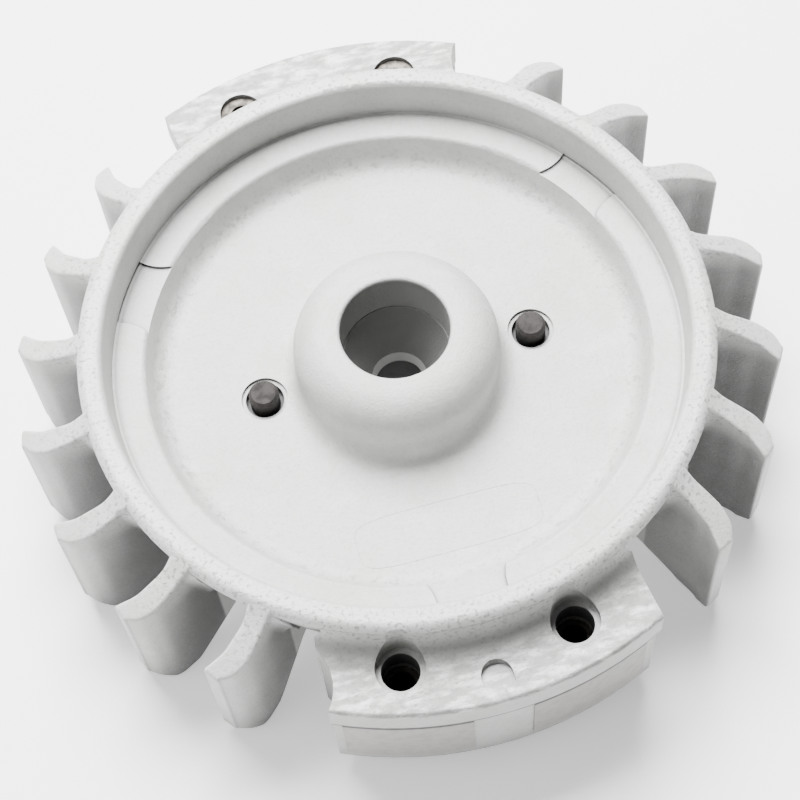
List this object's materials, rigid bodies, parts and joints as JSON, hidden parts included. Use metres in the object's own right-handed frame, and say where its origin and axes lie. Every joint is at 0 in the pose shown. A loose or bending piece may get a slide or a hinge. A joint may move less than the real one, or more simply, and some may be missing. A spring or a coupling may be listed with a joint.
{
  "type": "magneto flywheel",
  "caption": "Small two-stroke engine's magneto flywheel: dished cast disc with fan blades, magnet lobe, counterweight lobe and two sprung starter pawls.",
  "frame": {"origin": "centre of the hub's engine-side face, on the crank axis", "axes": "+Z along the crank axis towards the engine, -Y through the middle of the magnet lobe, +X through one pawl pivot"},
  "size_m": [0.101, 0.1004, 0.0276],
  "materials": {
    "cast_aluminium": "blasted casting",
    "magnet_alloy": "sintered",
    "lamination_steel": "ground",
    "weight_iron": "rough",
    "rivet_steel": "dull",
    "screw_steel": "dull",
    "bush_steel": "ground",
    "pawl_steel": "blanked and hardened",
    "spring_wire": "drawn wire"
  },
  "bodies": {
    "root": {"flywheel_disc": "cast_aluminium", "fan_blades": "cast_aluminium", "magnet": "magnet_alloy", "pole_shoe_leading": "lamination_steel", "pole_shoe_trailing": "lamination_steel", "counterweight": "weight_iron", "pole_shoe_rivets": "rivet_steel", "counterweight_rivets": "rivet_steel", "pawl_pivot_screws": "screw_steel", "pawl_bushes": "bush_steel", "pawl_washers": "bush_steel", "pawl_spring_a": "spring_wire", "pawl_spring_b": "spring_wire"},
    "pawl_a": {"pawl_a": "pawl_steel"},
    "pawl_b": {"pawl_b": "pawl_steel"}
  },
  "joints": [
    {"name": "pawl_a_swing", "type": "hinge", "parent": "root", "child": "pawl_a", "pos_m": [0.0184, 0, -0.0188], "axis": [0, 0, -1], "range_deg": [0, 25], "stiffness_Nm_per_rad": 0.01},
    {"name": "pawl_b_swing", "type": "hinge", "parent": "root", "child": "pawl_b", "pos_m": [-0.0184, 0, -0.0188], "axis": [0, 0, -1], "range_deg": [0, 25], "stiffness_Nm_per_rad": 0.01}
  ]
}
